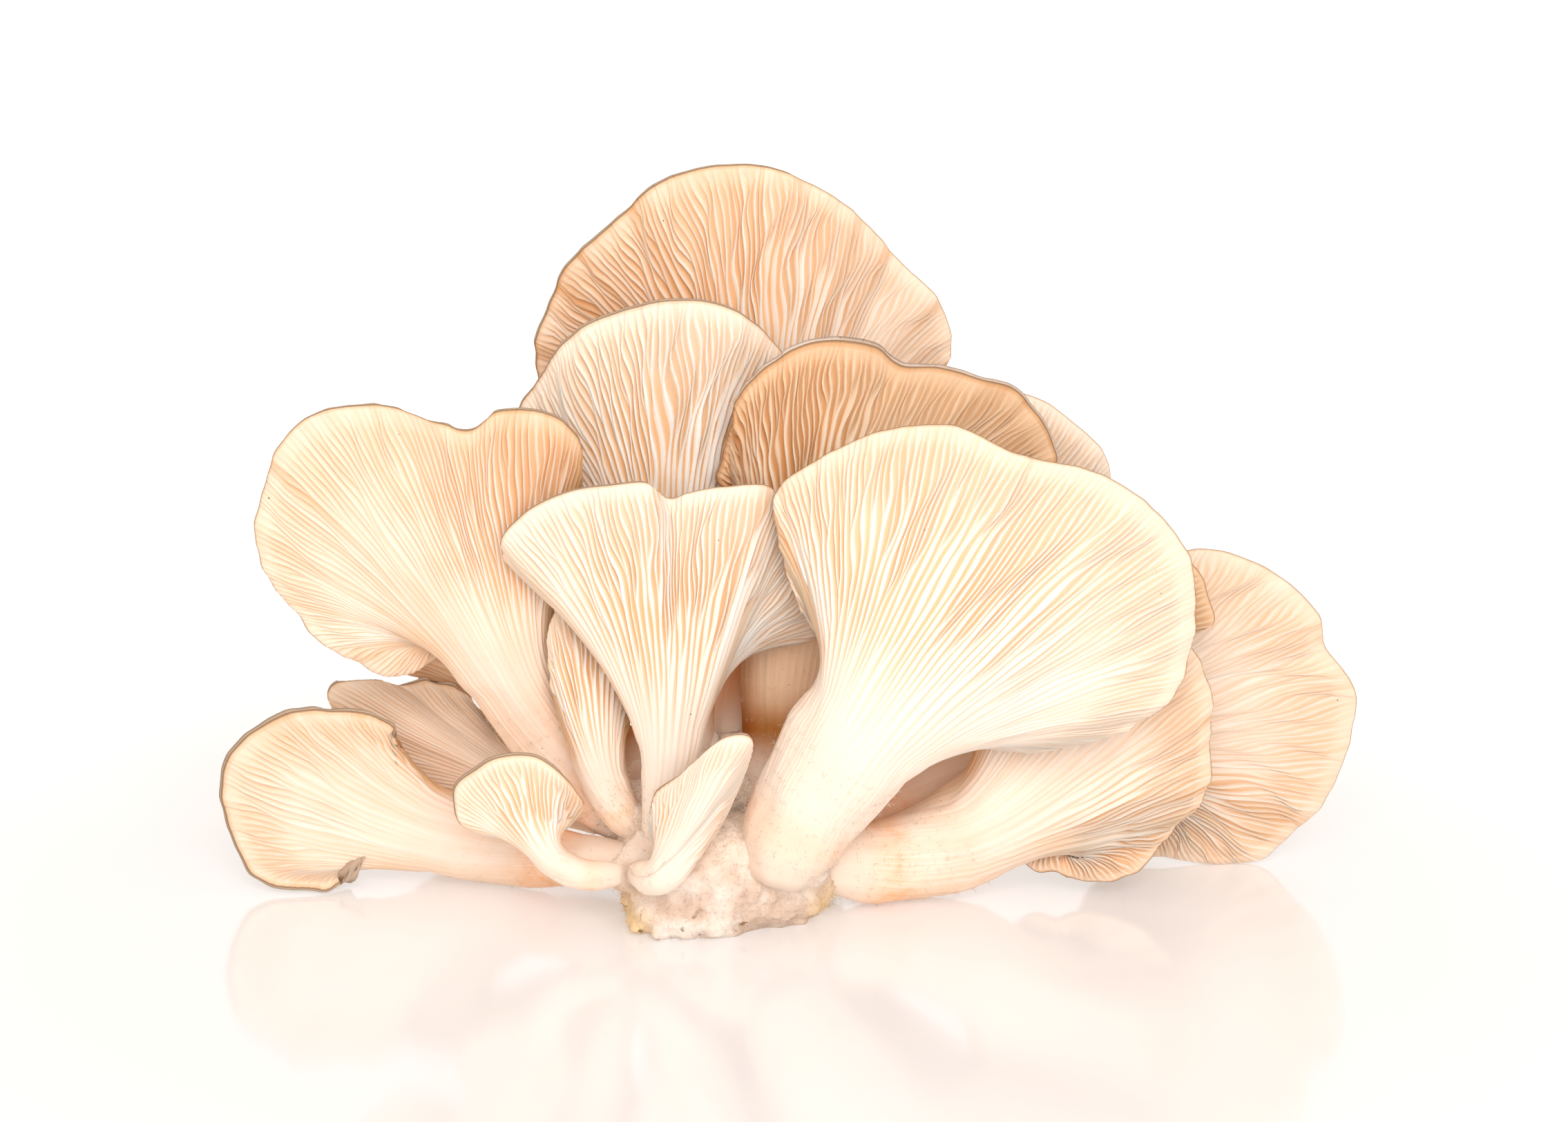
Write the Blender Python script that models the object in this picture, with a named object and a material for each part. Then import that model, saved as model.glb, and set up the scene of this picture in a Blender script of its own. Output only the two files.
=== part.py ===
"""Oyster mushroom cluster: the butt and the sixteen mushrooms that grow from it.

Sizes are in millimetres and become metres only when a mesh is made. +X is to
the right seen from the front, +Y to the back, +Z up, and the floor is z = 0.

Each mushroom is one closed trumpet. Its rings run from the foot up the stem,
flare out to the rim on the gill side, turn over the edge, and come back in
over the smooth top to a point in the throat.
"""

from collections import namedtuple

import bpy
import numpy as np

MM = 0.001

# Sizes that all the mushrooms share.
SEAT_GAP = 0.6          # between a foot and the butt
EDGE = 1.7              # cap thickness at the rim
FLESH_PER_RADIUS = 0.72  # cap thickness at the throat, as a part of the neck radius
RIDGE = 0.8             # half height of the raised gills, drawn larger than life

# How open the flare is at each ring: 0 is stem, 1 is the rim.
GILL_OPENINGS = (0.025, 0.16, 0.37, 0.64, 0.87, 1.0)
TOP_OPENINGS = (0.16, 0.40, 0.71, 1.0)

# foot, bend, hub: the stem's curve from the butt to the middle of the cap.
# facing: degrees that the gill side is turned right, and tipped down, from facing -Y.
# radii: the stem at its foot and at its neck.
# flare: how far up the stem it begins, and its power, higher for a later and flatter cap.
# rim: (degrees, reach, forward) from the hub, anticlockwise seen from the gill side.
Mushroom = namedtuple("Mushroom", "name foot bend hub facing radii flare ridges rim color")

CREAM = (0.93, 0.80, 0.62)
PALE = (0.95, 0.85, 0.70)
TAN = (0.84, 0.66, 0.47)
BUTT_COLOR = (0.88, 0.80, 0.70)

MUSHROOMS = (
    Mushroom("mushroom_top", (2, 33, 24), (4, 57, 56), (9, 58, 102), (0, 12),
             (6.8, 10), (0.35, 6), 24,
             ((-3, 34, -1), (17, 34.6, -1), (42, 32, -1), (69, 36, 1), (88, 41, 3),
              (104, 44, 3), (121, 45.6, 3), (142, 45, 1), (161, 47.7, -2), (187, 50.4, -5),
              (211, 46, -9), (257, 18, -12), (317, 31, -7)), CREAM),
    Mushroom("mushroom_upper_left", (-10, 24, 24), (-13, 34, 52), (-15, 35, 80), (0, 10),
             (5.8, 8), (0.35, 5), 24,
             ((28, 33, -4), (56, 38, -1), (74, 41, 2), (90, 40, 3), (108, 38, 2), (121, 36, 1),
              (135, 33, -1), (155, 31, -3), (199, 23, -9), (270, 11, -11), (340, 18, -6)), PALE),
    Mushroom("mushroom_upper_right", (9, 16, 22), (11, 28.6, 46), (17, 26, 83), (0, 14),
             (7.6, 11), (0.35, 6), 24,
             ((2, 45, -2), (25, 43, 0), (37, 37.5, 1), (49, 33.5, 2), (60, 29.5, 2), (72, 31, 2),
              (92, 31, 3), (111, 28, 3), (132, 24.6, 3), (160, 20, 2), (185, 19, 1),
              (245, 22, -7), (286, 19, -9), (322, 33, -7)), TAN),
    Mushroom("mushroom_back_right", (12, 31.5, 19), (33, 46, 42), (53, 46, 70), (0, 10),
             (3.5, 4.5), (0.35, 4), 12,
             ((15, 24, -3), (36, 26, -1), (55, 27, 1), (80, 29, 1), (108, 29, 0),
              (133, 23, -3), (193, 16, -8), (270, 10, -10), (329, 21, -7)), PALE),
    Mushroom("mushroom_left", (-23, 19, 16), (-42, 26, 32), (-50, 16, 65), (0, 8),
             (6, 9.5), (0.3, 5.5), 24,
             ((48, 28, -2), (56, 35, 1), (68, 38, 2), (83, 36, 1), (93, 31, -1), (103, 34, 0),
              (117, 42, 2), (136, 48, 1), (161, 46, 0), (180, 41, 1), (205, 32, 2),
              (230, 27, -2), (250, 16, -9), (285, 10, -12), (356, 12, -9)), CREAM),
    Mushroom("mushroom_front", (-15, 2, 19), (-10.5, 3, 41), (-15, 3, 66), (2, 12),
             (4, 6.5), (0.05, 2.7), 24,
             ((-21, 33, -5), (1, 27, -2), (22, 27, 0), (46, 32, 2), (63, 27, 3), (76, 23, 2),
              (84, 21, 1), (94, 25, 3), (110, 26, 3), (125, 28, 2), (142, 30, 0),
              (156, 31.6, -1), (165, 31, -3), (173, 27, -6), (270, 8, -9), (325, 22, -10)), PALE),
    Mushroom("mushroom_right", (9, -3, 14), (15, -4, 31), (36, -4, 54), (0, 6),
             (9.5, 13), (0.35, 5), 24,
             ((2, 52, -1), (24, 55, -1), (39, 53, 0), (52, 50, 0), (68, 46, 1), (84, 49, 2),
              (102, 48, 2), (118, 46, 1), (131, 43, -1), (152, 27, -3), (176, 18, -7),
              (225, 12, -14), (260, 13, -13), (303, 24, -6), (327, 32, -1), (344, 44, 1)),
             CREAM),
    Mushroom("mushroom_far_right", (18, 25, 11), (45, 42, 19), (86, 34, 32), (0, 4),
             (4.5, 6), (0.35, 5), 24,
             ((4, 40, 0), (16, 38.6, 1), (25, 36.5, -1), (35, 38.5, 1), (47, 38.4, 0),
              (62, 38, 1), (82, 36.5, 1), (110, 28, -3), (146, 20, -7), (177, 18, -13),
              (230, 24, -7), (251, 30, -3), (274, 30.8, 0), (302, 37.4, 0), (318, 38, 0),
              (-20, 39, 1)), CREAM),
    Mushroom("mushroom_low_right", (19, 8, 10), (42, 21, 4.6), (60, 14, 25), (0, 2),
             (7, 10.5), (0.35, 5.5), 24,
             ((-20, 30, -2), (-9, 33, -1), (10, 35, 0), (32, 39, 0), (50, 40, 0), (81, 33, -3),
              (107, 24, -6), (150, 14, -12), (215, 12, -13), (266, 19, -4), (284, 20, -1),
              (297, 24, 0), (322, 28, 0)), CREAM),
    Mushroom("mushroom_behind_right", (19, 18, 16), (45, 34, 42), (70, 23, 60), (0, 6),
             (3, 4), (0.35, 3), 12,
             ((-14, 25, 0), (0, 24, 0), (18, 22, 0), (41, 18, 0), (80, 13, 0), (137, 11, -3),
              (200, 9, -8), (270, 9, -7), (320, 16, -2)), TAN),
    Mushroom("mushroom_low_left", (-24, 8, 10), (-54, 34, 1.2), (-76, 25, 18), (4, 2),
             (5, 8), (0.35, 3.5), 24,
             ((61, 11, 0), (64, 15, 3), (72, 17, 4), (86, 18, 4), (104, 19, 3), (124, 22, 3),
              (145, 25, 2), (163, 27, 1), (180, 27, 1), (201, 26, 4), (216, 24, 6),
              (231, 20, 8), (246, 17, 8), (257, 14, 3), (282, 12, -3), (325, 11, -11),
              (380, 9, -10)), CREAM),
    Mushroom("mushroom_back_left", (-17, 29, 11), (-35, 40, 12), (-57, 45, 16), (8, 0),
             (4, 5), (0.35, 3), 12,
             ((10, 14, -5), (41, 11, -1), (74, 14, 1), (89, 18, 2), (108, 22, 2), (120, 23, 0),
              (130, 29, 2), (143, 34, 3), (156, 28, 0), (174, 20, -1), (208, 13, -4),
              (260, 9, -10), (315, 8, -10)), TAN),
    Mushroom("mushroom_behind_left", (-17, 32, 20), (-34, 46, 30), (-59, 50, 43), (0, -10),
             (4.2, 4.6), (0.35, 3), 12,
             ((7, 9, -3), (48, 9, -2), (108, 7, -2), (165, 11, 0), (196, 14, 1),
              (212, 10, -1), (231, 10, 1), (265, 9, 1), (301, 9, -2)), TAN),
    Mushroom("mushroom_small_left", (-24, -3, 11), (-37, -6, 11), (-39, -6, 23), (0, 8),
             (2.8, 3.4), (0.35, 5), 12,
             ((5, 9, -3), (39, 10, 0), (69, 12, 2), (90, 14, 2), (114, 15, 2), (134, 15, 1),
              (156, 16, 0), (184, 14, 0), (201, 10, -1), (226, 7, -4), (280, 3.5, -5)), PALE),
    Mushroom("mushroom_small_middle", (-18, -9, 13), (-13.5, -18.5, 14), (-9, -12, 23), (-25, 6),
             (3.4, 4), (0.35, 3), 12,
             ((52, 21, -3), (57, 25, 0), (67, 22, 2), (91, 12, 2), (128, 9, 2), (168, 7, 1),
              (213, 8, -1), (280, 4, -5), (391, 8, -5)), PALE),
    Mushroom("mushroom_slim", (-21, 9, 17.5), (-29, 7, 27), (-28, 11, 41), (10, 6),
             (3.7, 4.9), (0.3, 3), 12,
             ((47, 14, -5), (76, 21, -4), (92, 23, -4), (105, 22, -3), (117, 19, -2),
              (127, 15, -1), (145, 10, 0), (202, 6, -3), (270, 5, -7), (341, 7, -5)), TAN),
)

# The butt: a low lump, round a point inside it, cut flat at the floor.
BUTT_CENTER = np.array([-2.0, 12.0, 9.0])
BUTT_SIDES = 36
BUTT_LEVELS = 10
BUTT_FOOT = 0.86        # width of the cut face, as a part of the butt's own
DOME_POWER = 2.6        # 2 is round, more is boxier


def unit(vectors):
    """Scale vectors along the last axis to length 1."""
    return vectors / np.linalg.norm(vectors, axis=-1, keepdims=True)


def butt_width(around, low):
    """Half width of the butt, with a corner at its front left that grows towards the floor."""
    corner = 5.0 * np.exp(-((around + 2.15) / 0.4) ** 2) * low
    return 22.0 + corner + 1.2 * np.cos(3 * around + 0.3) + 0.6 * np.sin(7 * around)


def butt_reach(directions):
    """Distance from the butt's centre to its skin: a lumpy dome, higher at the back."""
    x, y, z = np.moveaxis(directions, -1, 0)
    wide = butt_width(np.arctan2(y, x), np.clip(-3 * z, 0, 1))
    high = np.where(z < 0, 17.0, 11.0 + 8.0 * np.clip(0.2 + y, 0, 1))
    dome = (np.hypot(x, y) / wide) ** DOME_POWER + (np.abs(z) / high) ** DOME_POWER
    return dome ** (-1 / DOME_POWER)


def seated(points):
    """Move points along lines from the butt's centre until they lie just off its skin."""
    directions = unit(points - BUTT_CENTER)
    return BUTT_CENTER + directions * (butt_reach(directions) + SEAT_GAP)[..., None]


def smooth_loop(points, count):
    """Closed Catmull-Rom curve through the points, as count evenly spaced points."""
    points = np.asarray(points, float)
    before, after = np.roll(points, 1, 0), np.roll(points, -1, 0)
    far = np.roll(points, -2, 0)
    t = np.linspace(0, 1, 24, endpoint=False)[None, :, None]
    a, b, c, d = (p[:, None] for p in (before, points, after, far))
    dense = 0.5 * (2 * b + (c - a) * t + (2 * a - 5 * b + 4 * c - d) * t ** 2
                   + (3 * b - a - 3 * c + d) * t ** 3)
    dense = dense.reshape(-1, 3)
    closed = np.vstack([dense, dense[:1]])
    length = np.concatenate([[0], np.cumsum(np.linalg.norm(np.diff(closed, axis=0), axis=1))])
    wanted = np.linspace(0, length[-1], count, endpoint=False)
    return np.stack([np.interp(wanted, length, closed[:, k]) for k in range(3)], -1)


def cap_frame(facing):
    """Right, up and forward of a cap whose gill side looks along forward."""
    turn, tip = np.radians(facing)
    forward = np.array([np.sin(turn) * np.cos(tip), -np.cos(turn) * np.cos(tip), -np.sin(tip)])
    right = np.array([np.cos(turn), np.sin(turn), 0.0])
    return right, np.cross(forward, right), forward


def rim_curve(mushroom, count):
    """The rim, relative to the hub, and the direction round the stem of each of its points."""
    right, up, forward = cap_frame(mushroom.facing)
    degrees, reach, lift = np.array(mushroom.rim, float).T
    angle = np.radians(degrees)
    points = (reach * np.cos(angle))[:, None] * right + (reach * np.sin(angle))[:, None] * up
    rim = smooth_loop(points + lift[:, None] * forward, count)
    polar = np.unwrap(np.arctan2(rim @ up, rim @ right))
    steady = 2 * np.pi * np.arange(count) / count
    waves = np.fft.rfft(polar - steady)
    waves[3:] = 0
    polar = steady + np.fft.irfft(waves, count)
    return rim, np.cos(polar)[:, None] * right + np.sin(polar)[:, None] * up


def flare_steps(mushroom, openings):
    """How far along the stem the flare is that open."""
    start, power = mushroom.flare
    return start + (1 - start) * np.asarray(openings) ** (1 / power)


def gill_side(mushroom, rim, spokes, steps):
    """Rings from foot to rim: the stem's circle fades into the rim as the flare opens.

    The flare opens later where the rim turns back down along the stem.
    """
    foot, bend, hub = (np.array(p, float) for p in (mushroom.foot, mushroom.bend, mushroom.hub))
    s = np.asarray(steps, float)[:, None]
    axis = (1 - s) ** 2 * foot + 2 * s * (1 - s) * bend + s ** 2 * hub
    tangent = unit((1 - s) * (bend - foot) + s * (hub - bend))
    back = -cap_frame(mushroom.facing)[2]
    lean = (tangent @ spokes.T) / (1 + tangent @ back)[:, None]
    ring = unit(spokes[None] - lean[..., None] * (tangent + back)[:, None])
    start, power = mushroom.flare
    turned = (0.5 - 0.5 * unit(rim) @ unit(hub - bend)) ** 2
    opening = np.clip((s - start) / (1 - start), 0, 1) ** (power * (1 + turned))
    radius = mushroom.radii[0] + (mushroom.radii[1] - mushroom.radii[0]) * np.minimum(s / 0.6, 1)
    stem = ((1 - opening) * radius)[..., None] * ring
    return axis[:, None] + stem + opening[..., None] * rim[None], opening


def outward(grid):
    """Unit normals of a grid of closed rings, pointing to the gill side."""
    around = np.roll(grid, -1, 1) - np.roll(grid, 1, 1)
    along = np.gradient(grid, axis=0)
    return unit(np.cross(along, around))


def mushroom_rings(mushroom):
    """All rings of one mushroom, from the middle of its foot to the bottom of its throat."""
    count = 2 * mushroom.ridges
    rim, spokes = rim_curve(mushroom, count)
    flare = flare_steps(mushroom, GILL_OPENINGS)
    steps = np.concatenate([[0, flare[0] / 3, flare[0] * 2 / 3], flare])
    outer, opening = gill_side(mushroom, rim, spokes, steps)
    window = np.clip(opening * 8, 0, 1) * np.clip((1 - opening) * 8, 0, 1)
    window[-2] = 0.7
    size = RIDGE * min(1, mushroom.radii[1] / 6)
    ridge = size * window * np.where(np.arange(count) % 2, 1.0, -1.0)
    normal = outward(outer)
    outer = outer + ridge[..., None] * normal

    inner, opening = gill_side(mushroom, rim, spokes, flare_steps(mushroom, TOP_OPENINGS))
    edge = EDGE * min(1, 0.6 + mushroom.radii[1] / 20)
    flesh = edge + (FLESH_PER_RADIUS * mushroom.radii[1] - edge) * (1 - opening) ** 1.5
    inner = (inner - flesh[..., None] * outward(inner))[::-1]
    throat = inner[-1].mean(0)

    outer[0] = seated(outer[0])
    foot = seated(outer[0].mean(0))
    middle = seated((outer[0] + foot) / 2)
    return foot, np.concatenate([middle[None], outer, inner]), throat


def closed_mesh(name, start, rings, end):
    """A mesh from closed rings with a fan at each end."""
    levels, count = rings.shape[:2]
    points = np.vstack([start, rings.reshape(-1, 3), end]) * MM
    here = 1 + np.arange(levels * count).reshape(levels, count)
    beside = np.roll(here, -1, 1)
    quads = np.stack([here[:-1], here[1:], beside[1:], beside[:-1]], -1).reshape(-1, 4)
    first = np.stack([np.zeros(count, int), here[0], beside[0]], -1)
    last = np.stack([np.full(count, len(points) - 1), beside[-1], here[-1]], -1)
    mesh = bpy.data.meshes.new(name)
    mesh.from_pydata(points.tolist(), [], first.tolist() + quads.tolist() + last.tolist())
    return mesh


def add_object(mesh, color, roughness):
    """Put a mesh in the scene with its own plain material."""
    material = bpy.data.materials.new(mesh.name)
    material.use_nodes = True
    shader = material.node_tree.nodes["Principled BSDF"]
    shader.inputs["Base Color"].default_value = (*color, 1)
    shader.inputs["Roughness"].default_value = roughness
    mesh.materials.append(material)
    obj = bpy.data.objects.new(mesh.name, mesh)
    bpy.context.collection.objects.link(obj)
    return obj


def butt_mesh():
    """The butt: rings from the flat cut face, up over the skin to the top."""
    around = -2 * np.pi * np.arange(BUTT_SIDES) / BUTT_SIDES
    rise = np.linspace(np.radians(-17), np.pi / 2, BUTT_LEVELS + 1)[:-1, None]
    directions = np.stack([np.cos(rise) * np.cos(around), np.cos(rise) * np.sin(around),
                           np.sin(rise) + 0 * around], -1)
    rings = BUTT_CENTER + directions * butt_reach(directions)[..., None]
    width = BUTT_FOOT * butt_width(np.arctan2(np.sin(around), np.cos(around)), 1)
    bottom = BUTT_CENTER * [1, 1, 0]
    cut = bottom + np.stack([np.cos(around), np.sin(around), 0 * around], -1) * width[:, None]
    up = np.array([0.0, 0.0, 1.0])
    rings = np.concatenate([cut[None], rings])
    return closed_mesh("butt", bottom, rings, BUTT_CENTER + up * butt_reach(up))


def main():
    """Clear the scene and build every node."""
    for obj in list(bpy.data.objects):
        bpy.data.objects.remove(obj)
    add_object(butt_mesh(), BUTT_COLOR, 0.8)
    for mushroom in MUSHROOMS:
        add_object(closed_mesh(mushroom.name, *mushroom_rings(mushroom)), mushroom.color, 0.65)


main()
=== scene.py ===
"""Oyster mushroom cluster, the looks: fine gills, rims, stems, butt, fuzz, floor, light, camera.

Shapes are worked out in millimetres, with +X right, +Y back, +Z up and the floor at z = 0,
and become metres when a mesh is made. Each mushroom and the butt take the place of their own
CAD node, and the fuzz grows on them.
"""
from collections import namedtuple

import bpy
import numpy as np
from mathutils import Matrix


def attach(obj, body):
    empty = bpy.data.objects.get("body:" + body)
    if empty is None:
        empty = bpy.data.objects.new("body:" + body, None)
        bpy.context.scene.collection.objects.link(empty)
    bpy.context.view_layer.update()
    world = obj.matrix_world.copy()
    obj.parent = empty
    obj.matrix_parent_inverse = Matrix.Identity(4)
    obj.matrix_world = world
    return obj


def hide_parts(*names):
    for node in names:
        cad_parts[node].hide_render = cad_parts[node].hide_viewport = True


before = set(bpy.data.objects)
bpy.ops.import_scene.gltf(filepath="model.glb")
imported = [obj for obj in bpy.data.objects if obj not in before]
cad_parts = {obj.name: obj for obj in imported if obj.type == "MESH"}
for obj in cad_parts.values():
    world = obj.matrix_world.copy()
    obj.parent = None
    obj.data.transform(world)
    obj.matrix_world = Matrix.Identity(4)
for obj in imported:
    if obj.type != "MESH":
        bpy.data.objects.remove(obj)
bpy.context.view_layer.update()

MM = 0.001
TURN = 2 * np.pi

# ---------------------------------------------------------------- sizes of a mushroom, mm

EDGE = 1.2               # cap thickness at the rim
FLESH_PER_RADIUS = 0.72  # cap thickness at the throat, as a part of the neck radius
THROAT = 0.16            # how open the flare is at the bottom of the top's funnel
SUNK = 0.08              # how much further the stem runs, into the butt
NECK = 0.6               # how far along the stem it gets its neck radius
FLOOR_CURVE = 0.25       # how softly a low cap flattens on the floor

GILL_PITCH = 1.3         # from gill to gill at the rim
GILL_DEPTH = 1.6         # of a full gill on a big cap
GILL_SWAY = 0.13         # of one gill on its own, as a part of the pitch
GILL_RANKS = (0, 2, 1, 2)         # long, short, middle, short, and so on round the cap
GILL_STARTS = ((-0.05, 0.06), (0.06, 0.35), (0.3, 0.85))  # reach where each rank starts
GILL_RISE = 0.08         # reach on both sides of the start over which a gill comes up
GILL_PLACES = (0.0, 0.45, 0.68)   # across one pitch: the valley, the slope and the crest
GILL_HEIGHTS = (0.0, 0.5, 1.0)
GILL_BENDS = ((3, 0.7), (7, 1.6), (13, 2.4), (29, 3.7), (61, 5.1))  # waves round, and along
FAINT = 0.12             # what is left of a gill's strength where the cap is smoothest

BIG_RIM = 120            # rim length above which a cap is big and gets more rings
FLARE_RINGS = 29         # rings of points on the flare's gill side
BIG_FLARE_RINGS = 39
STEM_RINGS = 10          # below the flare
TOP_RINGS = 10           # on the top side
RING_CROWDING = 1.7      # above 1 the flare's rings stand closer together at the throat
RIM_POINTS = 1440        # round the tables of the rim
RUFFLE_LENGTHS = (23, 14, 8, 5)   # from wave to wave of the rim
RUFFLE_STEEPNESS = 22    # a wave's length for each mm of its height

# foot, bend, hub: the stem's curve from the butt to the middle of the cap.
# facing: degrees that the gill side is turned right, and tipped down, from facing -Y.
# radii: the stem at its foot and at its neck.
# flare: how far up the stem it begins, and its power, higher for a later and flatter cap.
# rim: (degrees, reach, forward) from the hub, anticlockwise seen from the gill side.
# roll: how far the smooth top bulges out past the rim, and towards which degrees it does most.
# ruffle: how high the rim's waves are. wander: how far the gills sway sideways.
# warm: 0 is the slot's own colour, 1 is darker and more orange; what it is, partly the mushroom's own
# tone and partly painted shade for caps further back in the cluster, how much more it gets over the
# cap, and towards which degrees, painted shade on the side whose gills turn away from the light.
# fuzz: hairs on the lower stem.
# seed: of everything that is left to chance.
Mushroom = namedtuple("Mushroom", "name foot bend hub facing radii flare rim slot"
                                  " roll ruffle wander warm fuzz seed")

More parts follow.
